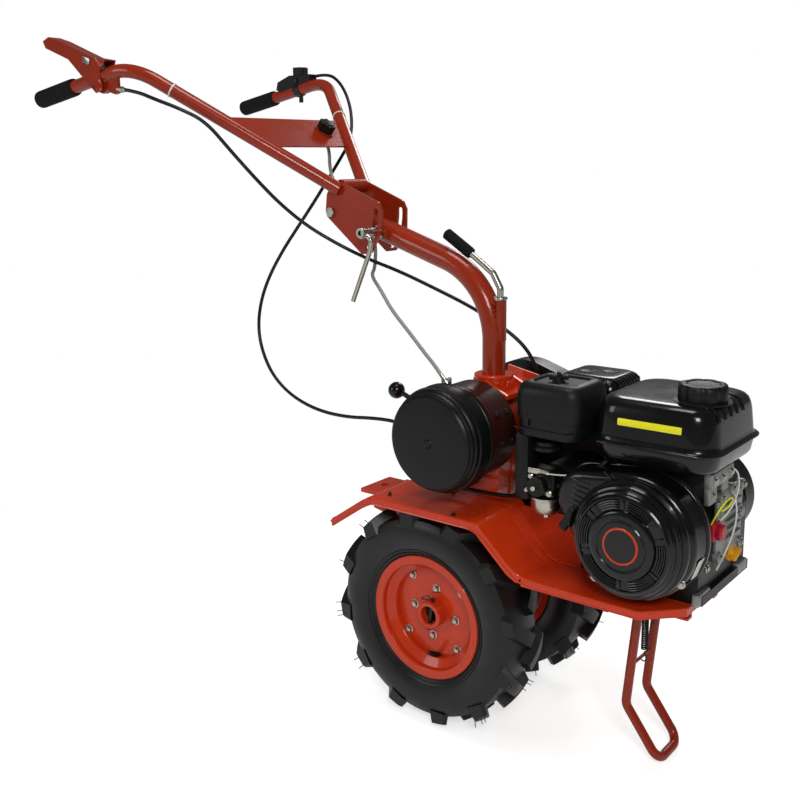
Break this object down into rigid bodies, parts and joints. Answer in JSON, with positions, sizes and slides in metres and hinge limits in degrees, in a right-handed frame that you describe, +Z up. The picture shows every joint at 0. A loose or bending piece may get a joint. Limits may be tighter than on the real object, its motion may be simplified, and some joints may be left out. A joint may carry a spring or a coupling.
{
  "type": "two-wheel hand tractor",
  "caption": "Walk-behind two-wheel hand tractor: front petrol engine, lugged tyres, swivelling column, tilting handlebar and folding front stand.",
  "frame": {"origin": "on the ground, at the middle of the box of the whole machine", "axes": "+X forward, from the handlebar to the engine; +Y to the left; +Z up"},
  "size_m": [1.404, 0.5942, 1.2584],
  "materials": {
    "red_enamel": "gloss enamel",
    "black_enamel": "satin enamel",
    "tyre_rubber": "matt",
    "grip_rubber": "matt",
    "bare_steel": "zinc plated",
    "cast_aluminium": "cast",
    "black_plastic": "satin",
    "cable_sheath": "satin",
    "yellow_plastic": "satin",
    "red_plastic": "satin"
  },
  "bodies": {
    "right_wheel": {"tyre_right": "tyre_rubber", "rim_right": "red_enamel", "hub_right": "red_enamel"},
    "chassis": {"gear_case_right": "red_enamel", "frame_rail_right": "red_enamel", "fender_right": "red_enamel", "gear_case_left": "red_enamel", "frame_rail_left": "red_enamel", "fender_left": "red_enamel", "axle_shaft": "bare_steel", "output_drum": "red_enamel", "engine_bed": "red_enamel", "hitch_bracket": "red_enamel", "column_socket": "red_enamel", "stand_bracket": "red_enamel", "output_cap": "black_enamel", "belt_guard": "black_enamel", "rocker_cover": "black_enamel", "blower_housing": "black_enamel", "recoil_cover": "black_enamel", "fuel_tank": "black_enamel", "fuel_cap": "black_enamel", "air_filter_box": "black_enamel", "crankcase": "cast_aluminium", "cylinder": "cast_aluminium", "carburettor": "cast_aluminium", "shift_lever": "bare_steel", "muffler": "black_enamel", "oil_dipstick": "yellow_plastic", "stop_switch": "red_plastic", "starter_grip": "black_plastic"},
    "left_wheel": {"tyre_left": "tyre_rubber", "rim_left": "red_enamel", "hub_left": "red_enamel"},
    "handlebar": {"clutch_lever": "red_enamel", "throttle_control": "black_plastic", "plate_knob": "black_plastic", "throttle_cable_upper": "cable_sheath", "clutch_cable_upper": "cable_sheath", "drum_cable_upper": "cable_sheath", "clamp_frame": "red_enamel", "handle_right": "red_enamel", "handle_left": "red_enamel", "cross_plate": "red_enamel", "grip_right": "grip_rubber", "grip_left": "grip_rubber"},
    "column": {"throttle_cable_lower": "cable_sheath", "clutch_cable_lower": "cable_sheath", "drum_cable_lower": "cable_sheath", "column": "red_enamel", "lock_rod": "bare_steel", "pivot_bolt": "bare_steel", "clamp_screw": "bare_steel", "lock_grip": "black_plastic"},
    "stand": {"stand": "red_enamel", "stand_spring": "bare_steel"}
  },
  "joints": [
    {"name": "right_wheel_roll", "type": "hinge", "parent": "chassis", "child": "right_wheel", "pos_m": [0.19, -0.12, 0.205], "axis": [0, 1, 0], "continuous": true},
    {"name": "left_wheel_roll", "type": "hinge", "parent": "chassis", "child": "left_wheel", "pos_m": [0.19, 0.12, 0.205], "axis": [0, 1, 0], "continuous": true},
    {"name": "column_swivel", "type": "hinge", "parent": "chassis", "child": "column", "pos_m": [0.231, 0, 0.604], "axis": [0, 0, 1], "range_deg": [-25, 25], "deforming": ["throttle_cable_lower", "clutch_cable_lower", "drum_cable_lower"]},
    {"name": "handlebar_tilt", "type": "hinge", "parent": "column", "child": "handlebar", "pos_m": [-0.121, 0, 0.91337], "axis": [0, 1, 0], "range_deg": [-16, 18], "deforming": ["throttle_cable_upper", "clutch_cable_upper", "drum_cable_upper"]},
    {"name": "stand_fold", "type": "hinge", "parent": "chassis", "child": "stand", "pos_m": [0.542, 0.012, 0.271], "axis": [0, 1, 0], "range_deg": [0, 80], "deforming": ["stand_spring"]}
  ]
}
